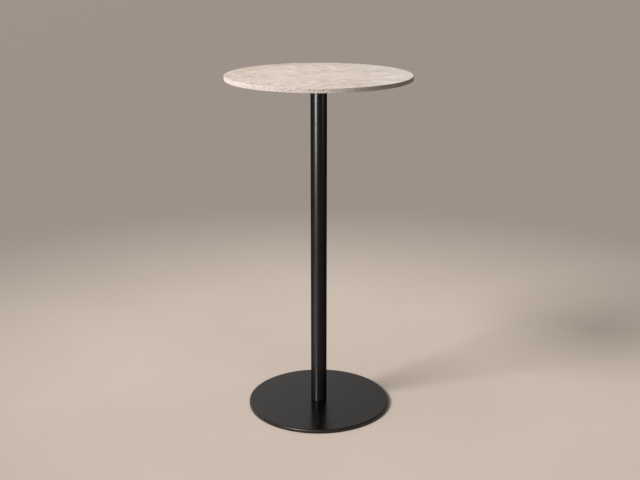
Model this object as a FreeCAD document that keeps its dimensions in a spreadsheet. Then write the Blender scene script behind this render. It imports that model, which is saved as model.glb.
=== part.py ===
import FreeCAD, Part
import Sketcher
import math
import os

# A bar-height pub table: a round stone top on a steel column and a flat round steel base.
# Millimetres, +Z up, with the origin on the floor under the middle of the table.

SIZES = {
    # Whole table
    "table_height": 1060,  # floor to the upper face of the stone
    # Stone top
    "top_diameter": 560,
    "top_thickness": 13,
    "top_arris": 1,  # rounding of its upper and lower edges
    # Column
    "column_diameter": 50,
    "column_wall": 2,
    # Base disc
    "base_diameter": 450,
    "base_thickness": 10,
    "base_edge_radius": 4,  # rounding of its upper edge
    "base_lower_chamfer": 1,
    "base_gap": 2,  # floor to its underside
    # Steel plate and rubber sheet under the stone
    "plate_diameter": 300,
    "plate_thickness": 5,
    "plate_chamfer": 1.5,
    "gasket_thickness": 1,
    "gasket_margin": 4,  # the sheet stops this far inside the plate's edge
    # Screws that hold the plate to the stone
    "screw_count": 6,
    "screw_inset": 30,  # plate's edge to the screws' middles
    "screw_diameter": 6,
    "screw_hole_clearance": 0.3,
    "screw_head_diameter": 10.5,
    "screw_head_height": 3.3,
    "screw_head_rounding": 1.6,
    "screw_key": 4,  # across the flats of the socket
    "screw_key_depth": 2,
    "screw_washer_diameter": 12,
    "screw_washer_thickness": 1.6,
    "screw_end_gap": 1,  # screw's end to the insert's end
    "insert_diameter": 9,
    "insert_length": 9,
    "bond_gap": 0.1,  # adhesive round each insert
    "thread_clearance": 0.1,
    # Tie rod that clamps plate, column and base together
    "rod_diameter": 10,
    "rod_chamfer": 1,
    "rod_clearance": 0.3,
    "rod_proud": 2,  # rod past the nut
    "rod_headroom": 1.5,  # rod's end to the stone
    "rod_end_gap": 2,  # rod's lower end to the base
    "nut_width": 16,  # across the flats
    "nut_height": 8.4,
    "nut_washer_diameter": 20,
    "nut_washer_thickness": 2,
    "nut_washer_room": 1,  # round the washer, in the hub's well
    # Hub and boss that locate the column's ends
    "hub_floor": 14,  # steel under the washer
    "boss_height": 25,
    "plug_clearance": 0.2,  # in the column's bore
    "plug_chamfer": 1.5,
    # Levelling feet
    "foot_count": 4,
    "foot_inset": 35,  # base's edge to the feet's middles
    "foot_diameter": 32,
    "foot_pocket_clearance": 0.6,
    "foot_seat_gap": 0.1,  # pad to the roof of its pocket, fully screwed in
    "foot_edge_chamfer": 0.4,
    "pad_floor": 1,  # nylon under the screw's head
    "pad_roof": 0.8,  # nylon over the screw's head
    "sole_proud": 0.6,  # rubber below the nylon
    "sole_seat": 0.9,  # rubber sunk into the nylon
    "sole_web": 1.3,  # nylon between the screw's head and the rubber
    "sole_rim": 2,  # nylon outside the rubber
    "sole_clearance": 0.1,
    "foot_screw_diameter": 8,
    "foot_head_diameter": 15,
    "foot_head_height": 1.6,
    "foot_play": 0.1,  # over the screw's head
    "foot_head_clearance": 0.2,  # round the screw's head
    "foot_shank_clearance": 0.3,  # round the shank, in the nylon
    "foot_key": 4,  # across the flats of the socket
    "foot_key_depth": 3.4,
    "foot_key_access": 0.6,  # round the key, in the nylon
    "foot_tip_gap": 0.3,  # screw's end to the end of its tapped hole
    "foot_skin": 1.3,  # steel left over each tapped hole
}

FULL_TURN = 360
HEXAGON_SIDES = 6
SAME_PLACE = 0.001

# The radius of a point on the axis, and the height of one on the floor
AXIS = "0"
FLOOR = "0"

# The axes and origin that every sketch has, and the points of a line or a circle
HORIZONTAL = -1
VERTICAL = -2
ORIGIN = (-1, 1)
START = 1
END = 2
CENTRE = 3

doc = FreeCAD.newDocument("pub_table")
sheet = doc.addObject("Spreadsheet::Sheet", "Sizes")
for row, (name, value) in enumerate(SIZES.items(), start=1):
    sheet.set(f"A{row}", name)
    sheet.set(f"B{row}", str(value))
    sheet.setAlias(f"B{row}", name)
doc.recompute()

# Heights, each an expression of the sizes
STONE_TOP = "Sizes.table_height"
STONE_UNDER = f"{STONE_TOP} - Sizes.top_thickness"
PLATE_TOP = f"{STONE_UNDER} - Sizes.gasket_thickness"
PLATE_UNDER = f"{PLATE_TOP} - Sizes.plate_thickness"
SCREW_HEAD_TOP = f"{PLATE_UNDER} - Sizes.screw_washer_thickness"
SCREW_HEAD_UNDER = f"{SCREW_HEAD_TOP} - Sizes.screw_head_height"
ROD_TOP = f"{STONE_UNDER} - Sizes.rod_headroom"
NUT_TOP = f"{ROD_TOP} - Sizes.rod_proud"
NUT_UNDER = f"{NUT_TOP} - Sizes.nut_height"
WELL_FLOOR = f"{NUT_UNDER} - Sizes.nut_washer_thickness"
HUB_UNDER = f"{WELL_FLOOR} - Sizes.hub_floor"
BASE_UNDER = "Sizes.base_gap"
BASE_TOP = f"{BASE_UNDER} + Sizes.base_thickness"
BOSS_TOP = f"{BASE_TOP} + Sizes.boss_height"
ROD_UNDER = f"{BASE_TOP} + Sizes.rod_end_gap"
PAD_UNDER = "Sizes.sole_proud"
SOLE_TOP = f"{PAD_UNDER} + Sizes.sole_seat"
FOOT_HEAD_UNDER = f"{PAD_UNDER} + Sizes.pad_floor"
FOOT_HEAD_TOP = f"{FOOT_HEAD_UNDER} + Sizes.foot_head_height"
PAD_CAVITY_TOP = f"{FOOT_HEAD_TOP} + Sizes.foot_play"
PAD_TOP = f"{PAD_CAVITY_TOP} + Sizes.pad_roof"
POCKET_ROOF = f"{PAD_TOP} + Sizes.foot_seat_gap"
TAPPED_END = f"{BASE_TOP} - Sizes.foot_skin"
FOOT_SCREW_TOP = f"{TAPPED_END} - Sizes.foot_tip_gap"

# Radii, each an expression of the sizes
STONE_RADIUS = "Sizes.top_diameter / 2"
PLATE_RADIUS = "Sizes.plate_diameter / 2"
GASKET_RADIUS = f"{PLATE_RADIUS} - Sizes.gasket_margin"
COLUMN_RADIUS = "Sizes.column_diameter / 2"
COLUMN_BORE = f"{COLUMN_RADIUS} - Sizes.column_wall"
PLUG_RADIUS = f"{COLUMN_BORE} - Sizes.plug_clearance"
BASE_RADIUS = "Sizes.base_diameter / 2"
SCREW_PLACE = f"{PLATE_RADIUS} - Sizes.screw_inset"
SCREW_RADIUS = "Sizes.screw_diameter / 2"
SCREW_HOLE = f"{SCREW_RADIUS} + Sizes.screw_hole_clearance"
SCREW_HEAD_RADIUS = "Sizes.screw_head_diameter / 2"
INSERT_RADIUS = "Sizes.insert_diameter / 2"
INSERT_BORE = f"{SCREW_RADIUS} + Sizes.thread_clearance"
INSERT_HOLE = f"{INSERT_RADIUS} + Sizes.bond_gap"
ROD_RADIUS = "Sizes.rod_diameter / 2"
ROD_HOLE = f"{ROD_RADIUS} + Sizes.rod_clearance"
ROD_THREAD = f"{ROD_RADIUS} + Sizes.thread_clearance"
NUT_WASHER_RADIUS = "Sizes.nut_washer_diameter / 2"
WELL_RADIUS = f"{NUT_WASHER_RADIUS} + Sizes.nut_washer_room"
FOOT_PLACE = f"{BASE_RADIUS} - Sizes.foot_inset"
PAD_RADIUS = "Sizes.foot_diameter / 2"
POCKET_RADIUS = f"{PAD_RADIUS} + Sizes.foot_pocket_clearance"
FOOT_SCREW_RADIUS = "Sizes.foot_screw_diameter / 2"
TAPPED_RADIUS = f"{FOOT_SCREW_RADIUS} + Sizes.thread_clearance"
PAD_SHANK_HOLE = f"{FOOT_SCREW_RADIUS} + Sizes.foot_shank_clearance"
FOOT_HEAD_RADIUS = "Sizes.foot_head_diameter / 2"
PAD_CAVITY_RADIUS = f"{FOOT_HEAD_RADIUS} + Sizes.foot_head_clearance"
SOLE_GROOVE_INNER = f"{PAD_CAVITY_RADIUS} + Sizes.sole_web"
SOLE_GROOVE_OUTER = f"{PAD_RADIUS} - Sizes.sole_rim"
KEY_CORNER = "Sizes.foot_key / sqrt(3)"
KEY_ACCESS = f"{KEY_CORNER} + Sizes.foot_key_access"


def number(expression):
    """The value of an expression of the sizes."""
    return float(sheet.evalExpression(expression))


def origin_plane(body, role):
    """One of a body's own origin planes or axes, by its role."""
    for feature in body.Origin.OriginFeatures:
        if feature.Role == role:
            return feature
    raise ValueError(f"{body.Label} has no {role}")


def new_sketch(body, name, role, offsets):
    """A sketch on an origin plane of the body, shifted by expressions along its own axes."""
    sketch = body.newObject("Sketcher::SketchObject", name)
    sketch.AttachmentSupport = [(origin_plane(body, role), "")]
    sketch.MapMode = "FlatFace"
    for axis, expression in offsets.items():
        sketch.setExpression(f"AttachmentOffset.Base.{axis}", expression)
    return sketch


def bind(sketch, constraint, name, expression):
    """Adds a constraint whose value follows an expression of the sizes."""
    index = sketch.addConstraint(constraint)
    sketch.renameConstraint(index, name)
    sketch.setExpression(f"Constraints.{name}", expression)


def draw_outline(sketch, outline):
    """A closed outline of straight lines through (radius, height) points, each point bound to the sizes."""
    points = [FreeCAD.Vector(number(radius), number(height), 0) for radius, height in outline]
    count = len(points)
    for index, point in enumerate(points):
        sketch.addGeometry(Part.LineSegment(point, points[(index + 1) % count]))
    for index, (radius, height) in enumerate(outline):
        following = (index + 1) % count
        sketch.addConstraint(Sketcher.Constraint("Coincident", index, END, following, START))
        if radius == AXIS:
            sketch.addConstraint(Sketcher.Constraint("PointOnObject", index, START, VERTICAL))
        else:
            across = Sketcher.Constraint("DistanceX", *ORIGIN, index, START, points[index].x)
            bind(sketch, across, f"radius_{index}", radius)
        if height == FLOOR:
            sketch.addConstraint(Sketcher.Constraint("PointOnObject", index, START, HORIZONTAL))
        else:
            up = Sketcher.Constraint("DistanceY", *ORIGIN, index, START, points[index].y)
            bind(sketch, up, f"height_{index}", height)


def draw_circle(sketch, radius, construction=False):
    """A circle about the sketch's origin."""
    middle = FreeCAD.Vector(0, 0, 0)
    upright = FreeCAD.Vector(0, 0, 1)
    circle = sketch.addGeometry(Part.Circle(middle, upright, number(radius)), construction)
    sketch.addConstraint(Sketcher.Constraint("Coincident", circle, CENTRE, *ORIGIN))
    bind(sketch, Sketcher.Constraint("Radius", circle, number(radius)), "circle_radius", radius)
    return circle


def draw_hexagon(sketch, across_flats):
    """A regular hexagon about the sketch's origin, with one corner on its horizontal axis."""
    corner_radius = f"{across_flats} / sqrt(3)"
    reach = number(corner_radius)
    turns = [math.tau * index / HEXAGON_SIDES for index in range(HEXAGON_SIDES)]
    corners = [FreeCAD.Vector(reach * math.cos(turn), reach * math.sin(turn), 0) for turn in turns]
    for index, corner in enumerate(corners):
        sketch.addGeometry(Part.LineSegment(corner, corners[(index + 1) % HEXAGON_SIDES]))
    circle = draw_circle(sketch, corner_radius, construction=True)
    for index in range(HEXAGON_SIDES):
        following = (index + 1) % HEXAGON_SIDES
        sketch.addConstraint(Sketcher.Constraint("Coincident", index, END, following, START))
        sketch.addConstraint(Sketcher.Constraint("PointOnObject", index, START, circle))
        if following:
            sketch.addConstraint(Sketcher.Constraint("Equal", index, following))
    sketch.addConstraint(Sketcher.Constraint("PointOnObject", 0, START, HORIZONTAL))


def new_body(label):
    """An empty body, which may hold a group of separate solids."""
    body = doc.addObject("PartDesign::Body", label)
    body.Label = label
    body.AllowCompound = True
    return body


def turned(label, outline, place=AXIS):
    """A body turned from an outline about an upright axis, which stands at place along X."""
    body = new_body(label)
    offsets = {} if place == AXIS else {"x": place}
    sketch = new_sketch(body, f"{label}_outline", "XZ_Plane", offsets)
    draw_outline(sketch, outline)
    turning = body.newObject("PartDesign::Revolution", f"{label}_turning")
    turning.Profile = (sketch, [""])
    turning.ReferenceAxis = (sketch, ["V_Axis"])
    turning.Angle = FULL_TURN
    sketch.Visibility = False
    doc.recompute()
    return body


def plain_ring(inner, outer, under, top):
    """The outline of a disc or a ring, from its two radii and its two faces."""
    return [(inner, under), (outer, under), (outer, top), (inner, top)]


def sink(body, name, draw, size, height, depth, place=AXIS):
    """Cuts a circle or a hexagon upward into a body, from a height, about an axis at place along X."""
    before = body.Shape.Volume
    offsets = {"z": height}
    if place != AXIS:
        offsets["x"] = place
    sketch = new_sketch(body, f"{body.Label}_{name}_outline", "XY_Plane", offsets)
    draw(sketch, size)
    pocket = body.newObject("PartDesign::Pocket", f"{body.Label}_{name}")
    pocket.Profile = (sketch, [""])
    pocket.Reversed = True
    pocket.setExpression("Length", depth)
    sketch.Visibility = False
    doc.recompute()
    if body.Shape.Volume >= before:
        raise ValueError(f"{name} cuts nothing from {body.Label}")
    return pocket


def ring_edges(feature, rings):
    """The names of a feature's circular edges about Z that match (radius, height) expressions."""
    wanted = [(number(radius), number(height)) for radius, height in rings]
    names = []
    for index, edge in enumerate(feature.Shape.Edges, start=1):
        if not isinstance(edge.Curve, Part.Circle):
            continue
        for radius, height in wanted:
            same_radius = abs(edge.Curve.Radius - radius) < SAME_PLACE
            same_height = abs(edge.Curve.Center.z - height) < SAME_PLACE
            if same_radius and same_height:
                names.append(f"Edge{index}")
    if not names:
        raise ValueError(f"{feature.Label} has no such edge")
    return names


def ease(body, name, kind, rings, size):
    """Rounds or chamfers the circular edges of a body."""
    base = body.Tip
    edges = ring_edges(base, rings)
    easing = body.newObject(f"PartDesign::{kind}", f"{body.Label}_{name}")
    easing.Base = (base, edges)
    easing.setExpression("Radius" if kind == "Fillet" else "Size", size)
    doc.recompute()


def repeat(body, name, features, count):
    """Repeats features evenly round Z."""
    pattern = body.newObject("PartDesign::PolarPattern", f"{body.Label}_{name}")
    pattern.Originals = features
    pattern.Axis = (origin_plane(body, "Z_Axis"), [""])
    pattern.Angle = FULL_TURN
    pattern.setExpression("Occurrences", count)
    body.Tip = pattern
    doc.recompute()


def make_table_top():
    """The stone slab, with a blind hole for each insert in its underside."""
    stone = turned("table_top", plain_ring(AXIS, STONE_RADIUS, STONE_UNDER, STONE_TOP))
    edges = [(STONE_RADIUS, STONE_UNDER), (STONE_RADIUS, STONE_TOP)]
    ease(stone, "arris", "Fillet", edges, "Sizes.top_arris")
    hole_depth = "Sizes.insert_length + Sizes.bond_gap"
    hole = sink(stone, "insert_hole", draw_circle, INSERT_HOLE, STONE_UNDER, hole_depth, SCREW_PLACE)
    repeat(stone, "insert_holes", [hole], "Sizes.screw_count")
    return stone


def make_top_inserts():
    """Brass bushes bonded into the stone, flush with its underside."""
    insert_top = f"{STONE_UNDER} + Sizes.insert_length"
    outline = plain_ring(INSERT_BORE, INSERT_RADIUS, STONE_UNDER, insert_top)
    inserts = turned("top_inserts", outline, SCREW_PLACE)
    repeat(inserts, "inserts", [inserts.Tip], "Sizes.screw_count")
    return inserts


def drill_for_screws(body, under, thickness):
    """Clearance holes for the plate's screws through a flat piece."""
    hole = sink(body, "screw_hole", draw_circle, SCREW_HOLE, under, thickness, SCREW_PLACE)
    repeat(body, "screw_holes", [hole], "Sizes.screw_count")


def make_top_gasket():
    """The rubber sheet between plate and stone."""
    gasket = turned("top_gasket", plain_ring(WELL_RADIUS, GASKET_RADIUS, PLATE_TOP, STONE_UNDER))
    drill_for_screws(gasket, PLATE_TOP, "Sizes.gasket_thickness")
    return gasket


def make_top_plate():
    """The round steel plate, open in the middle over the hub's well."""
    plate = turned("top_plate", plain_ring(WELL_RADIUS, PLATE_RADIUS, PLATE_UNDER, PLATE_TOP))
    ease(plate, "lower_edge", "Chamfer", [(PLATE_RADIUS, PLATE_UNDER)], "Sizes.plate_chamfer")
    drill_for_screws(plate, PLATE_UNDER, "Sizes.plate_thickness")
    return plate


def make_top_screws():
    """Button-head socket screws, pointing up into the inserts."""
    screw_top = f"{STONE_UNDER} + Sizes.insert_length - Sizes.screw_end_gap"
    outline = [
        (AXIS, SCREW_HEAD_UNDER),
        (f"{SCREW_HEAD_RADIUS} - Sizes.screw_head_rounding", SCREW_HEAD_UNDER),
        (SCREW_HEAD_RADIUS, f"{SCREW_HEAD_UNDER} + Sizes.screw_head_rounding"),
        (SCREW_HEAD_RADIUS, SCREW_HEAD_TOP),
        (SCREW_RADIUS, SCREW_HEAD_TOP),
        (SCREW_RADIUS, screw_top),
        (AXIS, screw_top),
    ]
    screws = turned("top_screws", outline, SCREW_PLACE)
    shank = screws.Tip
    key_size = "Sizes.screw_key"
    key_depth = "Sizes.screw_key_depth"
    socket = sink(screws, "socket", draw_hexagon, key_size, SCREW_HEAD_UNDER, key_depth, SCREW_PLACE)
    repeat(screws, "screws", [shank, socket], "Sizes.screw_count")
    return screws


def make_top_screw_washers():
    """Flat washers under the screws' heads."""
    washer_radius = "Sizes.screw_washer_diameter / 2"
    outline = plain_ring(SCREW_HOLE, washer_radius, SCREW_HEAD_TOP, PLATE_UNDER)
    washers = turned("top_screw_washers", outline, SCREW_PLACE)
    repeat(washers, "washers", [washers.Tip], "Sizes.screw_count")
    return washers


def make_top_hub():
    """The plug under the plate, with a well for the tie rod's nut."""
    outline = [
        (ROD_HOLE, HUB_UNDER),
        (PLUG_RADIUS, HUB_UNDER),
        (PLUG_RADIUS, PLATE_UNDER),
        (WELL_RADIUS, PLATE_UNDER),
        (WELL_RADIUS, WELL_FLOOR),
        (ROD_HOLE, WELL_FLOOR),
    ]
    hub = turned("top_hub", outline)
    ease(hub, "lead_in", "Chamfer", [(PLUG_RADIUS, HUB_UNDER)], "Sizes.plug_chamfer")
    return hub


def make_tie_rod():
    """The threaded rod, drawn up by its nut and screwed into the boss."""
    rod = turned("tie_rod", plain_ring(AXIS, ROD_RADIUS, ROD_UNDER, ROD_TOP))
    ends = [(ROD_RADIUS, ROD_UNDER), (ROD_RADIUS, ROD_TOP)]
    ease(rod, "ends", "Chamfer", ends, "Sizes.rod_chamfer")
    return rod


def make_tie_rod_washer():
    """The washer on the floor of the hub's well."""
    return turned("tie_rod_washer", plain_ring(ROD_HOLE, NUT_WASHER_RADIUS, WELL_FLOOR, NUT_UNDER))


def make_tie_rod_nut():
    """The hexagon nut in the hub's well."""
    nut = new_body("tie_rod_nut")
    sketch = new_sketch(nut, "tie_rod_nut_outline", "XY_Plane", {"z": NUT_UNDER})
    draw_hexagon(sketch, "Sizes.nut_width")
    block = nut.newObject("PartDesign::Pad", "tie_rod_nut_block")
    block.Profile = (sketch, [""])
    block.setExpression("Length", "Sizes.nut_height")
    sketch.Visibility = False
    doc.recompute()
    sink(nut, "thread", draw_circle, ROD_THREAD, NUT_UNDER, "Sizes.nut_height")
    return nut


def make_column_tube():
    """The straight tube, clamped between the base and the plate."""
    return turned("column_tube", plain_ring(COLUMN_BORE, COLUMN_RADIUS, BASE_TOP, PLATE_UNDER))


def make_base_boss():
    """The tapped boss on the base that the column's foot slips over."""
    boss = turned("base_boss", plain_ring(ROD_THREAD, PLUG_RADIUS, BASE_TOP, BOSS_TOP))
    ease(boss, "lead_in", "Chamfer", [(PLUG_RADIUS, BOSS_TOP)], "Sizes.plug_chamfer")
    return boss


def make_base_plate():
    """The base disc, with a pocket and a blind tapped hole for each foot in its underside."""
    base = turned("base_plate", plain_ring(AXIS, BASE_RADIUS, BASE_UNDER, BASE_TOP))
    ease(base, "upper_edge", "Fillet", [(BASE_RADIUS, BASE_TOP)], "Sizes.base_edge_radius")
    ease(base, "lower_edge", "Chamfer", [(BASE_RADIUS, BASE_UNDER)], "Sizes.base_lower_chamfer")
    pocket_depth = f"{POCKET_ROOF} - ({BASE_UNDER})"
    tapped_depth = f"{TAPPED_END} - ({POCKET_ROOF})"
    pocket = sink(base, "foot_pocket", draw_circle, POCKET_RADIUS, BASE_UNDER, pocket_depth, FOOT_PLACE)
    tapped = sink(base, "foot_thread", draw_circle, TAPPED_RADIUS, POCKET_ROOF, tapped_depth, FOOT_PLACE)
    repeat(base, "foot_seats", [pocket, tapped], "Sizes.foot_count")
    return base


def stand_foot_piece(body, index):
    """Places a piece that was turned about Z on the axis of foot number index."""
    turn = f"{FULL_TURN} / Sizes.foot_count * {index}"
    body.setExpression("Placement.Base.x", f"({FOOT_PLACE}) * cos({turn})")
    body.setExpression("Placement.Base.y", f"({FOOT_PLACE}) * sin({turn})")
    doc.recompute()
    return body


def make_foot_screw(index):
    """A captive levelling screw, with a hexagon socket in its flat head."""
    label = f"foot_screw_{index + 1}"
    outline = [
        (AXIS, FOOT_HEAD_UNDER),
        (FOOT_HEAD_RADIUS, FOOT_HEAD_UNDER),
        (FOOT_HEAD_RADIUS, FOOT_HEAD_TOP),
        (FOOT_SCREW_RADIUS, FOOT_HEAD_TOP),
        (FOOT_SCREW_RADIUS, FOOT_SCREW_TOP),
        (AXIS, FOOT_SCREW_TOP),
    ]
    screw = turned(label, outline)
    sink(screw, "socket", draw_hexagon, "Sizes.foot_key", FOOT_HEAD_UNDER, "Sizes.foot_key_depth")
    return stand_foot_piece(screw, index)


def make_foot_pad(index):
    """A nylon pad moulded round the screw's head, with a groove for the rubber below."""
    label = f"foot_pad_{index + 1}"
    outline = [
        (KEY_ACCESS, PAD_UNDER),
        (SOLE_GROOVE_INNER, PAD_UNDER),
        (SOLE_GROOVE_INNER, SOLE_TOP),
        (SOLE_GROOVE_OUTER, SOLE_TOP),
        (SOLE_GROOVE_OUTER, PAD_UNDER),
        (PAD_RADIUS, PAD_UNDER),
        (PAD_RADIUS, PAD_TOP),
        (PAD_SHANK_HOLE, PAD_TOP),
        (PAD_SHANK_HOLE, PAD_CAVITY_TOP),
        (PAD_CAVITY_RADIUS, PAD_CAVITY_TOP),
        (PAD_CAVITY_RADIUS, FOOT_HEAD_UNDER),
        (KEY_ACCESS, FOOT_HEAD_UNDER),
    ]
    pad = turned(label, outline)
    rims = [(PAD_RADIUS, PAD_UNDER), (PAD_RADIUS, PAD_TOP)]
    ease(pad, "rims", "Chamfer", rims, "Sizes.foot_edge_chamfer")
    return stand_foot_piece(pad, index)


def make_foot_sole(index):
    """A rubber ring set into the pad, which meets the floor."""
    label = f"foot_sole_{index + 1}"
    inner = f"{SOLE_GROOVE_INNER} + Sizes.sole_clearance"
    outer = f"{SOLE_GROOVE_OUTER} - Sizes.sole_clearance"
    sole = turned(label, plain_ring(inner, outer, FLOOR, SOLE_TOP))
    return stand_foot_piece(sole, index)


def make_pieces():
    """Every piece of the table, from the stone down to the feet."""
    pieces = [
        make_table_top(),
        make_top_inserts(),
        make_top_gasket(),
        make_top_plate(),
        make_top_screws(),
        make_top_screw_washers(),
        make_top_hub(),
        make_tie_rod_nut(),
        make_tie_rod_washer(),
        make_tie_rod(),
        make_column_tube(),
        make_base_boss(),
        make_base_plate(),
    ]
    for index in range(int(sheet.foot_count)):
        pieces.append(make_foot_screw(index))
        pieces.append(make_foot_pad(index))
        pieces.append(make_foot_sole(index))
    return pieces


def write_pieces(pieces):
    """Writes each piece to its own file, once all of them are sound."""
    doc.recompute()
    for item in doc.Objects:
        if "Invalid" in item.State or "Error" in item.State:
            raise RuntimeError(f"{item.Label} failed: {item.State}")
    for piece in pieces:
        if piece.Shape.isNull() or not piece.Shape.isValid():
            raise RuntimeError(f"{piece.Label} has no valid shape")
    os.makedirs("parts", exist_ok=True)
    for piece in pieces:
        piece.Shape.exportStep(f"parts/{piece.Label}.step")
        print(piece.Label, len(piece.Shape.Solids), round(piece.Shape.Volume, 1))


write_pieces(make_pieces())
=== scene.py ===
# Looks of the pub table: its visible pieces, finishes, floor, light and camera

import math

import bmesh
import bpy
from mathutils import Color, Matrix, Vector


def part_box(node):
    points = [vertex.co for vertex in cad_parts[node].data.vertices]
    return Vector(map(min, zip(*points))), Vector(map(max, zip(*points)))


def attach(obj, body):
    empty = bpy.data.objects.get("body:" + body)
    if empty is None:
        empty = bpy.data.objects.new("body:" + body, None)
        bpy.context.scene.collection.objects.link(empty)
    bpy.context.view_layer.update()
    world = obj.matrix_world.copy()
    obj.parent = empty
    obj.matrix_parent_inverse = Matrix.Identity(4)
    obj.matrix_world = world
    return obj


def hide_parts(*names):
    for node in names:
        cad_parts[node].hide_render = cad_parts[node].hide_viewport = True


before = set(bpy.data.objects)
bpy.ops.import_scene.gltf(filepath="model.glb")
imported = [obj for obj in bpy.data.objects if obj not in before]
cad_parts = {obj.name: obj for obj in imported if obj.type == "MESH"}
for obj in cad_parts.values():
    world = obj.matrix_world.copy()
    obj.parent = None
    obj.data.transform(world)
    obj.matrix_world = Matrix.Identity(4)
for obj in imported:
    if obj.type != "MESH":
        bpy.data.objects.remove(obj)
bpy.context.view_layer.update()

MM = 0.001
FULL_TURN = math.tau
QUARTER_TURN = math.pi / 2
SAME_PLACE = 0.02 * MM
SLIVER = SAME_PLACE / 4
ON_AXIS = (0.0, 0.0)
ORIGIN = (0.0, 0.0, 0.0)
LEVEL = (1.0, 1.0, 0.0)
RIGHT = (1.0, 0.0, 0.0)
UP = (0.0, 0.0, 1.0)
DOWN = (0.0, 0.0, -1.0)

# Roundness of the turned pieces, in sides
STONE_SIDES = 2400
DISC_SIDES = 256
TUBE_SIDES = 144
FOOT_SIDES = 96
SMALL_SIDES = 48
HEXAGON_SIDES = 6

# Steps across an eased edge, and its profile
CHAMFER_STEPS = 1
EASE_STEPS = 2
PAD_EASE_STEPS = 3
STONE_ARRIS_STEPS = 3
BASE_EDGE_STEPS = 10
ROUND_PROFILE = 0.5

# Widest angle, in degrees, between faces that are shaded as one
SMOOTH_ANGLE = 35
STONE_SMOOTH_ANGLE = 40

# Stone slab, and the large and small pits in its rim
STONE_ARRIS = 1.0 * MM
STONE_RIM_ROWS = 15
RIM_PIT_SIZE = 4.4 * MM
RIM_PIT_DEPTH = 1.4 * MM
RIM_PORE_SIZE = 2.2 * MM
RIM_PORE_DEPTH = 0.8 * MM
PIT_FLATNESS = 0.6

# Base disc
BASE_EDGE_RADIUS = 4.0 * MM
BASE_LOWER_CHAMFER = 1.0 * MM

# Column and plate
TUBE_WALL = 2.0 * MM
TUBE_END_EASE = 0.3 * MM
PLATE_CHAMFER = 1.5 * MM

# Screws and washers under the plate, and the holes in the stone for the screws' inserts
SCREW_COUNT = 6
SCREW_RING = 120.0 * MM
SCREW_RADIUS = 3.0 * MM
SCREW_HOLE = 3.3 * MM
SCREW_HEAD_RADIUS = 5.25 * MM
SCREW_HEAD_HEIGHT = 3.3 * MM
SCREW_HEAD_LAND = 0.5 * MM
SCREW_HEAD_FLAT = 2.75 * MM
SCREW_DOME_STEPS = 8
SCREW_TIP_CHAMFER = 0.6 * MM
SCREW_KEY = 4.0 * MM
SCREW_KEY_DEPTH = 2.0 * MM
WASHER_RADIUS = 6.0 * MM
WASHER_EASE = 0.25 * MM
INSERT_HOLE = 4.6 * MM
INSERT_HOLE_DEPTH = 9.1 * MM

# Levelling feet, and their seats in the base
FOOT_COUNT = 4
FOOT_RING = 190.0 * MM
POCKET_RADIUS = 16.6 * MM
POCKET_ROOF = 4.2 * MM
TAPPED_RADIUS = 4.1 * MM
TAPPED_END = 10.7 * MM
PAD_RADIUS = 16.0 * MM
PAD_EASE = 0.4 * MM
PAD_SHANK_HOLE = 4.3 * MM
PAD_CAVITY_RADIUS = 7.7 * MM
PAD_CAVITY_LOW = 1.55 * MM
PAD_CAVITY_HIGH = 3.3 * MM
PAD_KEY_HOLE = 2.91 * MM
SOLE_INNER = 9.1 * MM
SOLE_OUTER = 13.9 * MM
SOLE_ROOM = 0.1 * MM
SOLE_EASE = 0.25 * MM
FOOT_SCREW_RADIUS = 4.0 * MM
FOOT_HEAD_RADIUS = 7.5 * MM
FOOT_HEAD_TOP = 3.2 * MM
FOOT_HEAD_EASE = 0.25 * MM
FOOT_KEY = 4.0 * MM
FOOT_KEY_DEPTH = 3.4 * MM

# Thread of the levelling screws: what its crests lose, and the turns to spare at either end
THREAD_PITCH = 1.25 * MM
THREAD_DEPTH = 0.6 * MM
CREST_LOSS = THREAD_DEPTH / 4
SPARE_TURNS = 2

# How far a cutter reaches past the face that it cuts
CUT_PAST = 1.0 * MM


# Hand work on meshes

def let_go():
    """Leaves edit mode and deselects everything."""
    active = bpy.context.view_layer.objects.active
    if active is not None and active.mode != "OBJECT":
        bpy.ops.object.mode_set(mode="OBJECT")
    bpy.ops.object.select_all(action="DESELECT")


def take(piece):
    """Makes one piece the selected and active one."""
    let_go()
    piece.select_set(True)
    bpy.context.view_layer.objects.active = piece


def settle(name):
    """Names the new primitive or copy and moves its place into its mesh."""
    piece = bpy.context.view_layer.objects.active
    piece.name = name
    piece.data.name = name
    bpy.ops.object.transform_apply(location=True, rotation=True, scale=True)
    return piece


def remove(piece):
    bpy.data.objects.remove(piece, do_unlink=True)


def edit(piece):
    take(piece)
    bpy.ops.object.mode_set(mode="EDIT")


def pick_edges(test):
    """Selects the edges whose two ends pass the test, in the piece being edited."""
    bpy.ops.mesh.select_mode(type="EDGE")
    bpy.ops.mesh.select_all(action="DESELECT")
    mesh = bpy.context.view_layer.objects.active.data
    shape = bmesh.from_edit_mesh(mesh)
    for edge in shape.edges:
        if test(edge.verts[0].co, edge.verts[1].co):
            edge.select_set(True)
    bmesh.update_edit_mesh(mesh)


def radius_of(point):
    return math.hypot(point.x, point.y)


def on_ring(radius, height):
    """A test for edges that lie on one ring round the table's axis."""
    def test(first, second):
        return all(
            abs(radius_of(end) - radius) < SAME_PLACE and abs(end.z - height) < SAME_PLACE
            for end in (first, second)
        )
    return test


def ease_ring(radius, height, width, steps=EASE_STEPS):
    """Bevels one ring edge of the piece being edited."""
    pick_edges(on_ring(radius, height))
    bpy.ops.mesh.bevel(offset=width, segments=steps, affect="EDGES", profile=ROUND_PROFILE)


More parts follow.
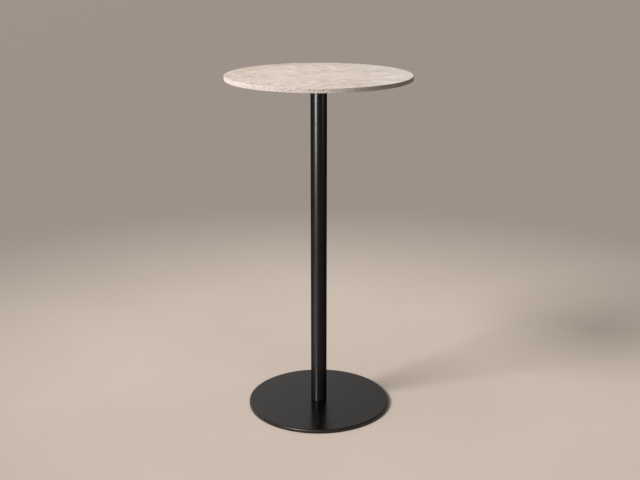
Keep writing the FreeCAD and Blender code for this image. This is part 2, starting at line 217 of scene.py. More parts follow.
def draw_line(name, outline):
    """Starts a piece as a line through radius and height points, and leaves it in edit mode."""
    let_go()
    radius, height = outline[0]
    bpy.ops.mesh.primitive_plane_add(size=MM, location=(radius, 0.0, height))
    piece = settle(name)
    edit(piece)
    bpy.ops.mesh.select_mode(type="VERT")
    bpy.ops.mesh.select_all(action="SELECT")
    bpy.ops.mesh.merge(type="CENTER")
    for (radius, height), (next_radius, next_height) in zip(outline, outline[1:]):
        step = (next_radius - radius, 0.0, next_height - height)
        bpy.ops.mesh.extrude_region_move(TRANSFORM_OT_translate={"value": step})
    return piece


def close_up():
    """Merges what meets and turns the faces of the piece being edited outwards."""
    bpy.ops.mesh.select_all(action="SELECT")
    bpy.ops.mesh.remove_doubles(threshold=SAME_PLACE)
    bpy.ops.mesh.normals_make_consistent(inside=False)


def turn(name, outline, sides):
    """Spins half a section round the table's axis, and leaves the piece in edit mode."""
    piece = draw_line(name, outline)
    bpy.ops.mesh.select_all(action="SELECT")
    bpy.ops.mesh.spin(steps=sides, angle=FULL_TURN, center=ORIGIN, axis=UP)
    close_up()
    return piece


def ring_section(inner, outer, low, high):
    """The closed half section of a ring, as radius and height points."""
    return [(inner, low), (outer, low), (outer, high), (inner, high), (inner, low)]


def disc_section(radius, low, high):
    """The half section of a disc, from the middle of its lower face to that of its upper one."""
    return [(0.0, low), (radius, low), (radius, high), (0.0, high)]


def apply_modifier(piece, modifier):
    take(piece)
    bpy.ops.object.modifier_apply(modifier=modifier.name)


def ring_of(count, radius):
    """The places of equal things on a ring, the first of them on the X axis."""
    turns = [FULL_TURN * index / count for index in range(count)]
    return [(radius * math.cos(turned), radius * math.sin(turned)) for turned in turns]


def key_corner(width):
    """The corner radius of a hexagonal key, from its width across flats."""
    return width / math.sqrt(3)


def bar_cutter(place, radius, low, high, sides):
    """A bar that a round or hexagonal hole is cut with."""
    let_go()
    middle = (place[0], place[1], (low + high) / 2)
    bpy.ops.mesh.primitive_cylinder_add(
        vertices=sides, radius=radius, depth=high - low, location=middle
    )
    return settle("cutter")


def combine(piece, shapes, operation):
    """Cuts, joins or trims a piece with other shapes, which are used up."""
    for shape in shapes:
        step = piece.modifiers.new("step", "BOOLEAN")
        step.operation = operation
        step.solver = "EXACT"
        step.object = shape
        apply_modifier(piece, step)
        remove(shape)


def drill(piece, places, radius, low, high, sides=SMALL_SIDES):
    """Cuts the same hole at each of some places."""
    cutters = [bar_cutter(place, radius, low, high, sides) for place in places]
    combine(piece, cutters, "DIFFERENCE")


def copy_to(piece, name, place):
    """Copies a piece that was modelled on the table's axis, with its own mesh, to its place."""
    take(piece)
    bpy.ops.object.duplicate(linked=False)
    copy = bpy.context.view_layer.objects.active
    copy.location = (place[0], place[1], 0.0)
    return settle(name)


def smooth(piece, angle=SMOOTH_ANGLE):
    """Smooths the round faces, keeps sharp corners sharp and flat faces flat."""
    take(piece)
    bpy.ops.object.shade_smooth_by_angle(angle=math.radians(angle))
    flats = piece.modifiers.new("flats", "WEIGHTED_NORMAL")
    flats.keep_sharp = True
    apply_modifier(piece, flats)


def clean(piece):
    """Merges the slivers that cutting leaves."""
    edit(piece)
    bpy.ops.mesh.select_all(action="SELECT")
    bpy.ops.mesh.dissolve_degenerate(threshold=SLIVER)
    bpy.ops.mesh.remove_doubles(threshold=SLIVER)
    let_go()


def node_radius(solid):
    """A CAD node's outer radius round the table's axis, kept inside its box."""
    low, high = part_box(solid)
    return min(high.x, high.y, -low.x, -low.y)


def bore_radius(solid):
    """A CAD node's inner radius round the table's axis."""
    return min(radius_of(corner.co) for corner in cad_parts[solid].data.vertices)


def heights(solid):
    low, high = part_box(solid)
    return low.z, high.z


# Stone top

def rim_pits(piece, name, size, depth, start, full):
    """Sinks pits of one size into the slab's rim, where noise passes a start, and flattens them."""
    let_go()
    bpy.ops.object.empty_add(location=ORIGIN)
    guide = bpy.context.view_layer.objects.active
    guide.scale = (1.0, 1.0, PIT_FLATNESS)
    bpy.context.view_layer.update()
    pattern = bpy.data.textures.new(name, type="CLOUDS")
    pattern.noise_scale = size
    pattern.noise_depth = 1
    pattern.noise_basis = "ORIGINAL_PERLIN"
    pattern.use_color_ramp = True
    face, floor_of_pit = pattern.color_ramp.elements
    face.position = start
    face.color = (0.0, 0.0, 0.0, 1.0)
    floor_of_pit.position = full
    floor_of_pit.color = (1.0, 1.0, 1.0, 1.0)
    pits = piece.modifiers.new(name, "DISPLACE")
    pits.texture = pattern
    pits.texture_coords = "OBJECT"
    pits.texture_coords_object = guide
    pits.vertex_group = "rim"
    pits.mid_level = 0.0
    pits.strength = -depth
    apply_modifier(piece, pits)
    remove(guide)


def mark_rim(piece, radius, low, high):
    """A vertex group of the slab's rim, fading out across the two arrises."""
    rim = piece.vertex_groups.new(name="rim")
    middle = (low + high) / 2
    half = (high - low) / 2
    for corner in piece.data.vertices:
        edge_room = (half - abs(corner.co.z - middle)) / STONE_ARRIS
        if radius_of(corner.co) > radius - STONE_ARRIS:
            rim.add([corner.index], min(1.0, max(0.0, edge_room)), "REPLACE")


def make_stone_top():
    low, high = heights("table_top")
    radius = node_radius("table_top")
    let_go()
    bpy.ops.mesh.primitive_cylinder_add(
        vertices=STONE_SIDES, radius=radius, depth=high - low,
        location=(0.0, 0.0, (low + high) / 2), end_fill_type="NGON",
    )
    piece = settle("stone_top")
    edit(piece)
    ease_ring(radius, high, STONE_ARRIS, STONE_ARRIS_STEPS)
    ease_ring(radius, low, STONE_ARRIS, STONE_ARRIS_STEPS)
    drill(piece, ring_of(SCREW_COUNT, SCREW_RING), INSERT_HOLE, low - CUT_PAST, low + INSERT_HOLE_DEPTH)
    edit(piece)
    between_arrises = high - low - 2 * STONE_ARRIS

    def up_the_rim(first, second):
        outside = min(radius_of(first), radius_of(second)) > radius - STONE_ARRIS
        return outside and abs(first.z - second.z) > between_arrises - STONE_ARRIS

    pick_edges(up_the_rim)
    bpy.ops.mesh.subdivide(number_cuts=STONE_RIM_ROWS)
    let_go()
    mark_rim(piece, radius, low, high)
    rim_pits(piece, "rim_pits", RIM_PIT_SIZE, RIM_PIT_DEPTH, start=0.6, full=0.67)
    rim_pits(piece, "rim_pores", RIM_PORE_SIZE, RIM_PORE_DEPTH, start=0.58, full=0.68)
    piece.vertex_groups.clear()
    smooth(piece, STONE_SMOOTH_ANGLE)
    return piece


# Column, base and plate

def make_column():
    low, high = heights("column_tube")
    radius = node_radius("column_tube")
    piece = turn("column", ring_section(radius - TUBE_WALL, radius, low, high), TUBE_SIDES)
    for height in (low, high):
        ease_ring(radius, height, TUBE_END_EASE)
    smooth(piece)
    return piece


def make_base_disc():
    low, high = heights("base_plate")
    radius = node_radius("base_plate")
    piece = turn("base_disc", disc_section(radius, low, high), DISC_SIDES)
    ease_ring(radius, high, BASE_EDGE_RADIUS, BASE_EDGE_STEPS)
    ease_ring(radius, low, BASE_LOWER_CHAMFER, CHAMFER_STEPS)
    for place in ring_of(FOOT_COUNT, FOOT_RING):
        drill(piece, [place], POCKET_RADIUS, low - CUT_PAST, POCKET_ROOF, FOOT_SIDES)
        drill(piece, [place], TAPPED_RADIUS, low - CUT_PAST, TAPPED_END)
    smooth(piece)
    return piece


def make_carrier_plate():
    low, high = heights("top_plate")
    radius = node_radius("top_plate")
    piece = turn("carrier_plate", ring_section(bore_radius("top_plate"), radius, low, high), DISC_SIDES)
    ease_ring(radius, low, PLATE_CHAMFER)
    drill(piece, ring_of(SCREW_COUNT, SCREW_RING), SCREW_HOLE, low - CUT_PAST, high + CUT_PAST)
    smooth(piece)
    return piece


# Screws and washers under the plate

def make_plate_screw():
    """A button-head screw on the table's axis, its head down and its domed face hollowed for a key."""
    head_top = heights("top_screw_washers")[0]
    head_low, tip = heights("top_screws")
    dome_width = SCREW_HEAD_RADIUS - SCREW_HEAD_FLAT
    dome_rise = SCREW_HEAD_HEIGHT - SCREW_HEAD_LAND
    outline = [(0.0, head_low), (SCREW_HEAD_FLAT, head_low)]
    for step in range(1, SCREW_DOME_STEPS + 1):
        slope = QUARTER_TURN * step / SCREW_DOME_STEPS
        radius = SCREW_HEAD_FLAT + dome_width * math.sin(slope)
        outline.append((radius, head_low + dome_rise * (1 - math.cos(slope))))
    outline += [
        (SCREW_HEAD_RADIUS, head_top), (SCREW_RADIUS, head_top), (SCREW_RADIUS, tip - SCREW_TIP_CHAMFER),
        (SCREW_RADIUS - SCREW_TIP_CHAMFER, tip), (0.0, tip),
    ]
    piece = turn("plate_screw", outline, SMALL_SIDES)
    socket_end = head_low + SCREW_KEY_DEPTH
    drill(piece, [ON_AXIS], key_corner(SCREW_KEY), head_low - CUT_PAST, socket_end, HEXAGON_SIDES)
    smooth(piece)
    return piece


def make_plate_washer():
    low, high = heights("top_screw_washers")
    piece = turn("plate_washer", ring_section(SCREW_HOLE, WASHER_RADIUS, low, high), SMALL_SIDES)
    for height in (low, high):
        ease_ring(WASHER_RADIUS, height, WASHER_EASE)
    smooth(piece)
    return piece


# Levelling feet

def make_levelling_pad():
    """The nylon pad, moulded round the screw's head and grooved below for its sole ring."""
    low, high = heights("foot_pad_1")
    groove_roof = heights("foot_sole_1")[1]
    groove_inner = SOLE_INNER - SOLE_ROOM
    groove_outer = SOLE_OUTER + SOLE_ROOM
    outline = [
        (PAD_KEY_HOLE, low), (groove_inner, low), (groove_inner, groove_roof),
        (groove_outer, groove_roof), (groove_outer, low), (PAD_RADIUS, low),
        (PAD_RADIUS, high), (PAD_SHANK_HOLE, high), (PAD_SHANK_HOLE, PAD_CAVITY_HIGH),
        (PAD_CAVITY_RADIUS, PAD_CAVITY_HIGH), (PAD_CAVITY_RADIUS, PAD_CAVITY_LOW),
        (PAD_KEY_HOLE, PAD_CAVITY_LOW), (PAD_KEY_HOLE, low),
    ]
    piece = turn("levelling_pad", outline, FOOT_SIDES)
    for height in (low, high):
        ease_ring(PAD_RADIUS, height, PAD_EASE, PAD_EASE_STEPS)
    smooth(piece)
    return piece


def make_sole_ring():
    low, high = heights("foot_sole_1")
    piece = turn("sole_ring", ring_section(SOLE_INNER, SOLE_OUTER, low, high), FOOT_SIDES)
    for radius in (SOLE_INNER, SOLE_OUTER):
        ease_ring(radius, low, SOLE_EASE)
    smooth(piece)
    return piece


def make_threaded_bar(low, high):
    """A bar with a right-hand thread, its crests cut flat and its upper end chamfered."""
    root = FOOT_SCREW_RADIUS - THREAD_DEPTH
    crest = FOOT_SCREW_RADIUS + CREST_LOSS
    half_pitch = THREAD_PITCH / 2
    start = low - SPARE_TURNS * THREAD_PITCH
    flanks = [(root, start), (crest, start + half_pitch), (root, start + THREAD_PITCH)]
    bar = draw_line("threaded_bar", flanks)
    let_go()
    wind = bar.modifiers.new("wind", "SCREW")
    wind.axis = "Z"
    wind.screw_offset = THREAD_PITCH
    wind.iterations = math.ceil((high - low) / THREAD_PITCH) + 2 * SPARE_TURNS
    wind.steps = SMALL_SIDES
    wind.render_steps = SMALL_SIDES
    wind.use_merge_vertices = True
    wind.merge_threshold = SAME_PLACE
    apply_modifier(bar, wind)
    edit(bar)
    for height, below in ((low - half_pitch, True), (high + half_pitch, False)):
        bpy.ops.mesh.select_all(action="SELECT")
        bpy.ops.mesh.bisect(
            plane_co=(0.0, 0.0, height), plane_no=UP, use_fill=True,
            clear_inner=below, clear_outer=not below,
        )
    close_up()
    blank = turn("blank", [
        (0.0, low), (FOOT_SCREW_RADIUS, low), (FOOT_SCREW_RADIUS, high - THREAD_DEPTH),
        (root, high), (0.0, high),
    ], TUBE_SIDES)
    combine(bar, [blank], "INTERSECT")
    return bar


def make_levelling_screw():
    """The captive screw, with a flat head that turns in the pad and a key socket from below."""
    low, tip = heights("foot_screw_1")
    piece = turn("levelling_screw", disc_section(FOOT_HEAD_RADIUS, low, FOOT_HEAD_TOP), SMALL_SIDES)
    for height in (low, FOOT_HEAD_TOP):
        ease_ring(FOOT_HEAD_RADIUS, height, FOOT_HEAD_EASE)
    combine(piece, [make_threaded_bar((low + FOOT_HEAD_TOP) / 2, tip)], "UNION")
    drill(piece, [ON_AXIS], key_corner(FOOT_KEY), low - CUT_PAST, low + FOOT_KEY_DEPTH, HEXAGON_SIDES)
    clean(piece)
    smooth(piece)
    return piece


# Building shader trees

BRIGHTEST = 255

# The sockets of a colour mix, by number because several share a name
MIX_SHARE = 0
MIX_FIRST = 6
MIX_SECOND = 7
MIX_RESULT = 2


def paint(red, green, blue):
    """A colour written as 0 to 255, as the linear colour that a shader wants."""
    colour = Color((red / BRIGHTEST, green / BRIGHTEST, blue / BRIGHTEST))
    return (*colour.from_srgb_to_scene_linear(), 1.0)


def node(tree, kind, inputs=None, **settings):
    """Adds a shader node, with its settings, and its inputs linked or set."""
    new = tree.nodes.new(kind)
    for name, value in settings.items():
        setattr(new, name, value)
    for name, value in (inputs or {}).items():
        if isinstance(value, bpy.types.NodeSocket):
            tree.links.new(value, new.inputs[name])
        else:
            new.inputs[name].default_value = value
    return new


def math_node(tree, operation, first, second=0.0, third=0.0):
    return node(tree, "ShaderNodeMath", {0: first, 1: second, 2: third}, operation=operation).outputs[0]


def times(tree, first, second):
    return math_node(tree, "MULTIPLY", first, second)


def greater(tree, first, second):
    return math_node(tree, "MAXIMUM", first, second)


def vector_node(tree, operation, first, second=ORIGIN):
    return node(tree, "ShaderNodeVectorMath", {0: first, 1: second}, operation=operation).outputs


def axis_reach(tree, place):
    """How far a place lies from the table's axis."""
    level = vector_node(tree, "MULTIPLY", place, LEVEL)["Vector"]
    return vector_node(tree, "LENGTH", level)["Value"]


def reach_along(tree, place, direction):
    """How far a place lies in one direction."""
    return vector_node(tree, "DOT_PRODUCT", place, direction)["Value"]


def spread(tree, value, low=0.0, high=1.0, to_low=0.0, to_high=1.0):
    """Maps a value's range to another, smoothly and within its ends."""
    return node(
        tree, "ShaderNodeMapRange",
        {"Value": value, "From Min": low, "From Max": high, "To Min": to_low, "To Max": to_high},
        interpolation_type="SMOOTHSTEP", clamp=True,
    ).outputs["Result"]


def rising(tree, place, direction, start, end):
    """A mask that rises from a first to a second distance in one direction."""
    return spread(tree, reach_along(tree, place, direction), start, end)


def blend(tree, share, first, second):
    """Two colours, blended by the share of the second."""
    inputs = {MIX_SHARE: share, MIX_FIRST: first, MIX_SECOND: second}
    return node(tree, "ShaderNodeMix", inputs, data_type="RGBA").outputs[MIX_RESULT]


def noise(tree, place, per_metre, detail, roughness=0.5, warp=0.0):
    """Plain noise, with so many grains per metre."""
    return node(
        tree, "ShaderNodeTexNoise",
        {"Vector": place, "Scale": per_metre, "Detail": detail, "Roughness": roughness, "Distortion": warp},
    ).outputs[0]


def bump(tree, height, distance, strength=0.6, normal=None):
    inputs = {"Height": height, "Distance": distance, "Strength": strength}
    if normal is not None:
        inputs["Normal"] = normal
    return node(tree, "ShaderNodeBump", inputs).outputs["Normal"]


# Effects that several finishes share

def new_group(name, values, result):
    """An empty shader node group that takes a place and some values, and puts out one value."""
    group = bpy.data.node_groups.new(name, "ShaderNodeTree")
    group.interface.new_socket(name="Place", in_out="INPUT", socket_type="NodeSocketVector")
    for value in values:
        group.interface.new_socket(name=value, in_out="INPUT", socket_type="NodeSocketFloat")
    group.interface.new_socket(name=result, in_out="OUTPUT", socket_type="NodeSocketFloat")
    start = group.nodes.new("NodeGroupInput")
    end = group.nodes.new("NodeGroupOutput")
    return group, start.outputs, end.inputs


def make_mottle():
    """Cloudy change of tone, used by every finish at its own size."""
    group, given, result = new_group("mottle", ("Per Metre", "Softness"), "Tone")
    cloud = noise(
        group, given["Place"], given["Per Metre"], detail=5.0, roughness=given["Softness"], warp=0.35
    )
    group.links.new(spread(group, cloud, low=0.28, high=0.72), result["Tone"])
    return group


def make_pores():
    """Scattered small hollows, where noise passes a threshold."""
    group, given, result = new_group("pores", ("Per Metre", "Threshold"), "Mask")
    grain = noise(group, given["Place"], given["Per Metre"], detail=2.0, roughness=0.55)
    soft_edge = 0.07
    full = math_node(group, "ADD", given["Threshold"], soft_edge)
    group.links.new(spread(group, grain, given["Threshold"], full), result["Mask"])
    return group


def make_rim_mask():
    """Where a round piece's outermost part begins, measured from the table's axis."""
    group, given, result = new_group("rim_mask", ("Radius", "Width"), "Mask")
    start = math_node(group, "SUBTRACT", given["Radius"], given["Width"])
    reach = axis_reach(group, given["Place"])
    group.links.new(spread(group, reach, start, given["Radius"]), result["Mask"])
    return group


mottle = make_mottle()
pores = make_pores()
rim_mask = make_rim_mask()


def mottled(tree, place, per_metre, softness):
    inputs = {"Place": place, "Per Metre": per_metre, "Softness": softness}
    return node(tree, "ShaderNodeGroup", inputs, node_tree=mottle).outputs["Tone"]


def porous(tree, place, per_metre, threshold):
    inputs = {"Place": place, "Per Metre": per_metre, "Threshold": threshold}
    return node(tree, "ShaderNodeGroup", inputs, node_tree=pores).outputs["Mask"]


def rim_of(tree, place, radius, width):
    inputs = {"Place": place, "Radius": radius, "Width": width}
    return node(tree, "ShaderNodeGroup", inputs, node_tree=rim_mask).outputs["Mask"]


def new_finish(name):
    """An empty material with its shader, and the piece's own coordinates."""
    finish = bpy.data.materials.new(name)
    finish.use_nodes = True
    tree = finish.node_tree
    shader = tree.nodes["Principled BSDF"]
    place = node(tree, "ShaderNodeTexCoord").outputs["Object"]
    return finish, tree, shader, place


def set_shader(tree, shader, **values):
    """Sets or links the shader's sockets, named with underscores for spaces."""
    for name, value in values.items():
        socket = shader.inputs[name.replace("_", " ")]
        if isinstance(value, bpy.types.NodeSocket):
            tree.links.new(value, socket)
        else:
            socket.default_value = value


# Travertine

STONE_CREAM = paint(235, 223, 212)
STONE_BEIGE = paint(200, 183, 169)
STONE_TAN = paint(190, 168, 146)
STONE_PINK = paint(224, 207, 200)
STONE_GREY = paint(201, 192, 186)
STONE_PALE = paint(244, 237, 231)
STONE_RIM = paint(229, 219, 215)
# Brown that paints shade on the shaded right side of the rim
STONE_PAINTED_SHADE_BROWN = paint(158, 135, 119)
# Dark pores, also used as painted shade on the floors of the rim's pits
STONE_PORE_AND_PIT_SHADE = paint(112, 97, 89)

# How much of the stone's body tone is clouds, flecks and grains
CLOUD_PART = 0.25
FLECK_PART = 0.48
GRAIN_PART = 0.27

# How strongly the other colours show at most
GREY_SHARE = 0.55
LOOP_SHARE = 0.5
RIM_SHARE = 0.7
PAINTED_SHADE_SHARE = 0.6
FINE_PORE_SHARE = 0.7
PIT_FLOOR_SHADE_SHARE = 0.45

# The slab's bedding, in degrees from the X axis, and the ways to its tan and pale parts and to the brown
# painted shade on its rim
BEDDING = 22
TAN_WAY = (-0.45, 0.89, 0.0)
PALE_WAY = (1.0, 0.1, 0.0)
PAINTED_SHADE_WAY = RIGHT

# The squeeze and shift of its pinkish zones
PINK_SQUEEZE = (1.0, 1.4, 1.0)
PINK_SHIFT = (0.37, 0.1, 0.0)

# The loop that one vein makes near the slab's right-hand side
LOOP_PLACE = (0.134, 0.03, 0.0)
LOOP_HALF_WIDTH = 17.0 * MM
LOOP_HALF_LENGTH = 42.0 * MM

# Its rim, the painted shade on the floors of the pits there, and its pores
RIM_BLEND = 1.4 * MM
PIT_FLOOR_START = 0.2 * MM
PIT_FLOOR_FULL = 1.2 * MM
ARRIS_BLEND = 0.2 * MM
PORE_SHAPE = (1.3, 1.0, 0.6)
PORE_DEPTH = 0.3 * MM
DOTTED_EDGE = 60.0 * MM


def lie_along(tree, place, direction, drawn_out, offset=ORIGIN):
    """Coordinates that draw a pattern out along one direction in the slab, given in degrees."""
    turned = (0.0, 0.0, math.radians(direction))
    return node(
        tree, "ShaderNodeMapping",
        {"Vector": place, "Scale": drawn_out, "Rotation": turned, "Location": offset},
        vector_type="TEXTURE",
    ).outputs["Vector"]


def stone_pattern(tree, place, per_metre, softness, drawn_out, turned=0, offset=ORIGIN):
    """A cloudy pattern that is drawn out along the slab's bedding, or at an angle to it."""
    lie = lie_along(tree, place, BEDDING + turned, drawn_out, offset)
    return mottled(tree, lie, per_metre, softness)


def stone_body(tree, place, flecks):
    """The stone's ground colour, in broad clouds, small flecks and grains."""
    clouds = stone_pattern(tree, place, per_metre=15.0, softness=0.62, drawn_out=(1.7, 1.0, 0.5))
    grains = stone_pattern(
        tree, place, per_metre=140.0, softness=0.5, drawn_out=(1.5, 1.0, 0.8), offset=(0.7, 0.3, 0.4)
    )
    tone = times(tree, clouds, CLOUD_PART)
    tone = math_node(tree, "MULTIPLY_ADD", flecks, FLECK_PART, tone)
    tone = math_node(tree, "MULTIPLY_ADD", grains, GRAIN_PART, tone)
    return blend(tree, spread(tree, tone, low=0.23, high=0.77), STONE_BEIGE, STONE_CREAM)


def add_tan_bedding(tree, place, flecks, colour):
    """Tan bedding lines, and a tan zone towards the back left."""
    lines = stone_pattern(tree, place, per_metre=5.0, softness=0.6, drawn_out=(0.5, 0.07, 0.05), turned=-8)
    colour = blend(tree, spread(tree, lines, low=0.45, to_high=0.3), colour, STONE_TAN)
    zone = rising(tree, place, TAN_WAY, start=0.08, end=0.28)
    share = spread(tree, flecks, low=0.2, high=0.9, to_low=0.6, to_high=0.25)
    return blend(tree, times(tree, zone, share), colour, STONE_TAN)


def add_pale_clouds(tree, place, colour):
    """A greyer ground with pale clouds towards the right."""
    zone = rising(tree, place, PALE_WAY, start=0.04, end=0.2)
    colour = blend(tree, times(tree, zone, GREY_SHARE), colour, STONE_GREY)
    clouds = stone_pattern(
        tree, place, per_metre=30.0, softness=0.55, drawn_out=(1.5, 1.0, 1.0), offset=(0.4, 0.9, 0.0)
    )
    share = spread(tree, clouds, low=0.5, high=0.85, to_high=0.62)
    reach = spread(tree, zone, to_low=0.45)
    return blend(tree, times(tree, reach, share), colour, STONE_PALE)


def add_pink_zones(tree, place, colour):
    squeezed = {"Vector": place, "Scale": PINK_SQUEEZE, "Location": PINK_SHIFT}
    zones = node(tree, "ShaderNodeMapping", squeezed).outputs["Vector"]
    pink = mottled(tree, zones, per_metre=5.0, softness=0.45)
    return blend(tree, spread(tree, pink, low=0.4, to_high=0.6), colour, STONE_PINK)


def loop_vein(tree, place):
    """A mask for the outline of the slab's one looped vein, broken here and there."""
    waver = noise(tree, place, per_metre=24.0, detail=4.0, roughness=0.65)
    breaks = noise(tree, place, per_metre=60.0, detail=2.0)
    centred = vector_node(tree, "SUBTRACT", place, LOOP_PLACE)["Vector"]
    measure = (1 / LOOP_HALF_WIDTH, 1 / LOOP_HALF_LENGTH, 0.0)
    scaled = vector_node(tree, "MULTIPLY", centred, measure)["Vector"]
    reach = vector_node(tree, "LENGTH", scaled)["Value"]
    shift = spread(tree, waver, low=0.25, high=0.75, to_low=-0.8, to_high=0.8)
    past_line = math_node(tree, "SUBTRACT", math_node(tree, "ADD", reach, shift), 1.0)
    off_line = math_node(tree, "ABSOLUTE", past_line)
    outline = spread(tree, off_line, high=0.35, to_low=1.0, to_high=0.0)
    return times(tree, outline, spread(tree, breaks, low=0.35, high=0.6))


def add_rim_colour(tree, place, rim, colour):
    """The paler rim, darker and browner towards the right, which is painted shade on its shaded side."""
    colour = blend(tree, times(tree, rim, RIM_SHARE), colour, STONE_RIM)
    # Painted shade: the rim darkens to brown towards its right side
    zone = rising(tree, place, PAINTED_SHADE_WAY, start=0.03, end=0.2)
    return blend(tree, times(tree, times(tree, rim, zone), PAINTED_SHADE_SHARE), colour, STONE_PAINTED_SHADE_BROWN)


def pit_floor_shade(tree, place):
    """A mask of painted shade for the floors of the pits in the slab's rim, by how far they lie inside it.
    """
    low, high = heights("table_top")
    radius = node_radius("table_top")
    arris_end = STONE_ARRIS + ARRIS_BLEND
    sunk = spread(
        tree, axis_reach(tree, place), radius - PIT_FLOOR_FULL, radius - PIT_FLOOR_START,
        to_low=1.0, to_high=0.0,
    )
    above = rising(tree, place, UP, low + STONE_ARRIS, low + arris_end)
    below = rising(tree, place, DOWN, STONE_ARRIS - high, arris_end - high)
    return times(tree, sunk, times(tree, above, below))


def stone_pores(tree, place, rim, radius):
    """Masks for all pores, and for how far they are open: most on the rim, little on the faces, with
    painted shade on the pits' floors.
    """
    lie = lie_along(tree, place, BEDDING, PORE_SHAPE)
    coarse = porous(tree, lie, per_metre=210.0, threshold=0.56)
    fine = porous(tree, lie, per_metre=520.0, threshold=0.55)
    dots = porous(tree, lie, per_metre=180.0, threshold=0.64)
    every = greater(tree, coarse, times(tree, fine, FINE_PORE_SHARE))
    opened_and_pit_shade = times(tree, every, spread(tree, rim, to_low=0.1, to_high=0.25))
    # Painted shade: the pits' floors darken by how deep they lie
    opened_and_pit_shade = greater(tree, opened_and_pit_shade, times(tree, pit_floor_shade(tree, place), PIT_FLOOR_SHADE_SHARE))
    near_edge = rim_of(tree, place, radius, DOTTED_EDGE)
    dot_share = spread(tree, near_edge, to_low=0.3, to_high=0.6)
    opened_and_pit_shade = greater(tree, opened_and_pit_shade, times(tree, dots, dot_share))
    return every, opened_and_pit_shade


def make_travertine():
    finish, tree, shader, place = new_finish("honed_travertine")
    flecks = stone_pattern(
        tree, place, per_metre=56.0, softness=0.62, drawn_out=(1.9, 1.0, 0.7), turned=6,
        offset=(0.2, 0.5, 0.1),
    )
    colour = stone_body(tree, place, flecks)
    colour = add_tan_bedding(tree, place, flecks, colour)
    colour = add_pale_clouds(tree, place, colour)
    colour = add_pink_zones(tree, place, colour)
    colour = blend(tree, times(tree, loop_vein(tree, place), LOOP_SHARE), colour, STONE_TAN)
    radius = node_radius("table_top") - STONE_ARRIS
    rim = rim_of(tree, place, radius, RIM_BLEND)
    colour = add_rim_colour(tree, place, rim, colour)
    every_pore, open_pores_and_pit_shade = stone_pores(tree, place, rim, radius)
    # Pores, and the pits' floors as painted shade, darken the stone
    colour = blend(tree, open_pores_and_pit_shade, colour, STONE_PORE_AND_PIT_SHADE)
    pore_roughness = spread(tree, every_pore, to_low=0.45, to_high=0.8)
    roughness = greater(tree, pore_roughness, spread(tree, rim, to_high=0.7))
    normal = bump(tree, math_node(tree, "SUBTRACT", 1.0, open_pores_and_pit_shade), PORE_DEPTH)
    set_shader(
        tree, shader, Base_Color=colour, Roughness=roughness, Normal=normal, IOR=1.5,
        Specular_IOR_Level=0.4,
    )
    return finish


# Powder coat

COAT_BLACK = paint(10, 9, 9)
COAT_DEEP = paint(7, 6, 6)
COAT_RUBBED = paint(34, 32, 31)
COAT_SKIN_HEIGHT = 0.03 * MM
RUB_WIDTH = 4.0 * MM
RUB_SHARE = 0.3
RUB_DULLING = 0.15


def rubbed_edge(tree, place, edge_radius, edge_height):
    """Masks for a disc's upper edge, and for where it is rubbed."""
    rim = rim_of(tree, place, edge_radius, RUB_WIDTH)
    high = rising(tree, place, UP, edge_height - 1.5 * RUB_WIDTH, edge_height - 0.5 * RUB_WIDTH)
    edge = times(tree, rim, high)
    marks = mottled(tree, place, per_metre=45.0, softness=0.7)
    return edge, times(tree, edge, spread(tree, marks, low=0.4, high=0.9, to_low=0.2))


def make_powder_coat(name, gloss, rough_low, rough_high, edge=None, **more):
    """Satin black powder coat with its fine orange-peel skin, duller along a rubbed upper edge."""
    finish, tree, shader, place = new_finish(name)
    patches = mottled(tree, place, per_metre=14.0, softness=0.5)
    colour = blend(tree, patches, COAT_DEEP, COAT_BLACK)
    roughness = spread(tree, patches, to_low=rough_low, to_high=rough_high)
    if edge is not None:
        rim, rubbed = rubbed_edge(tree, place, *edge)
        colour = blend(tree, times(tree, rubbed, RUB_SHARE), colour, COAT_RUBBED)
        roughness = math_node(tree, "MULTIPLY_ADD", rim, RUB_DULLING, roughness)
    skin = mottled(tree, place, per_metre=650.0, softness=0.4)
    normal = bump(tree, skin, COAT_SKIN_HEIGHT)
    set_shader(
        tree, shader, Base_Color=colour, Roughness=roughness, Normal=normal, IOR=1.5,
        Specular_IOR_Level=gloss, **more,
    )
    return finish


# Metal, rubber and nylon

METAL_GRAIN_HEIGHT = 0.006 * MM
LATHE_RINGS_PER_METRE = 2500.0
LATHE_RING_HEIGHT = 0.01 * MM
MOULD_GRAIN_HEIGHT = 0.03 * MM


def lathe_rings(tree, place):
    """The height of the fine rings that turning leaves round the table's axis, on faces and sides alike."""
    along = math_node(tree, "ADD", axis_reach(tree, place), reach_along(tree, place, UP))
    wave = math_node(tree, "SINE", times(tree, along, FULL_TURN * LATHE_RINGS_PER_METRE))
    return spread(tree, wave, low=-1.0)


def make_metal(name, dark, light, rough_low, rough_high, per_metre, turned=False):
    """Bare or plated metal with a cloudy tone, a fine grain and, where it was turned, the tool's rings."""
    finish, tree, shader, place = new_finish(name)
    tone = mottled(tree, place, per_metre, softness=0.6)
    roughness = spread(tree, tone, to_low=rough_high, to_high=rough_low)
    normal = bump(tree, mottled(tree, place, per_metre=1500.0, softness=0.5), METAL_GRAIN_HEIGHT)
    if turned:
        normal = bump(tree, lathe_rings(tree, place), LATHE_RING_HEIGHT, normal=normal)
    colour = blend(tree, tone, dark, light)
    set_shader(tree, shader, Base_Color=colour, Roughness=roughness, Normal=normal, Metallic=1.0)
    return finish


def make_rubbery(name, dark, light, rough_low, rough_high, per_metre):
    """Matte rubber or moulded nylon with a fine grain."""
    finish, tree, shader, place = new_finish(name)
    tone = mottled(tree, place, per_metre, softness=0.6)
    roughness = spread(tree, tone, to_low=rough_low, to_high=rough_high)
    grain = porous(tree, place, per_metre=2400.0, threshold=0.55)
    normal = bump(tree, grain, MOULD_GRAIN_HEIGHT, strength=0.5)
    set_shader(tree, shader, Base_Color=blend(tree, tone, dark, light), Roughness=roughness, Normal=normal)
    return finish


# Finishes by the slot that each belongs to

